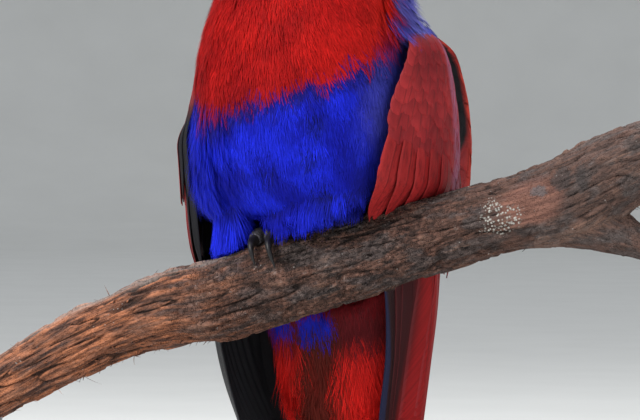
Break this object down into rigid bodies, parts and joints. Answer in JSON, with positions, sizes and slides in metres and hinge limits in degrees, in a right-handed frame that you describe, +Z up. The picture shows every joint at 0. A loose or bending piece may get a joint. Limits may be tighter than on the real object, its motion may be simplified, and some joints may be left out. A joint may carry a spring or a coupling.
{
  "type": "eclectus parrot",
  "caption": "Life-size female eclectus parrot perched upright on a cut length of branch, held up on a plain display stand.",
  "frame": {"origin": "centre of the stand's underside, on the floor", "axes": "+Z up; the bird's breast faces -Y and its left side is +X"},
  "size_m": [0.31, 0.1699, 0.3645],
  "materials": {
    "breast_feathers": "soft, loose violet-blue body feathers",
    "head_feathers": "soft, fine bright red feathers",
    "wing_feathers": "smooth maroon-red feathers with a faint sheen",
    "tail_feathers": "smooth red feathers",
    "horn": "black horn with a low sheen",
    "eye": "wet, pale yellow iris with a black pupil",
    "foot_skin": "dark grey scaly skin",
    "bark": "rough reddish-brown bark",
    "stand_board": "satin wooden board",
    "stand_steel": "plain brushed steel rods"
  },
  "bodies": {
    "root": {"torso": "breast_feathers", "neck": "head_feathers", "head": "head_feathers", "bill_upper": "horn", "bill_lower": "horn", "eye_left": "eye", "eye_right": "eye", "wing_left": "wing_feathers", "wing_right": "wing_feathers", "tail": "tail_feathers", "leg_left": "foot_skin", "leg_right": "foot_skin", "foot_left": "foot_skin", "foot_right": "foot_skin", "claw_left_front_inner": "horn", "claw_left_front_outer": "horn", "claw_left_back_inner": "horn", "claw_left_back_outer": "horn", "claw_right_front_inner": "horn", "claw_right_front_outer": "horn", "claw_right_back_inner": "horn", "claw_right_back_outer": "horn", "perch_branch": "bark", "stand_base": "stand_board", "stand_rod_left": "stand_steel", "stand_rod_right": "stand_steel"}
  },
  "joints": []
}
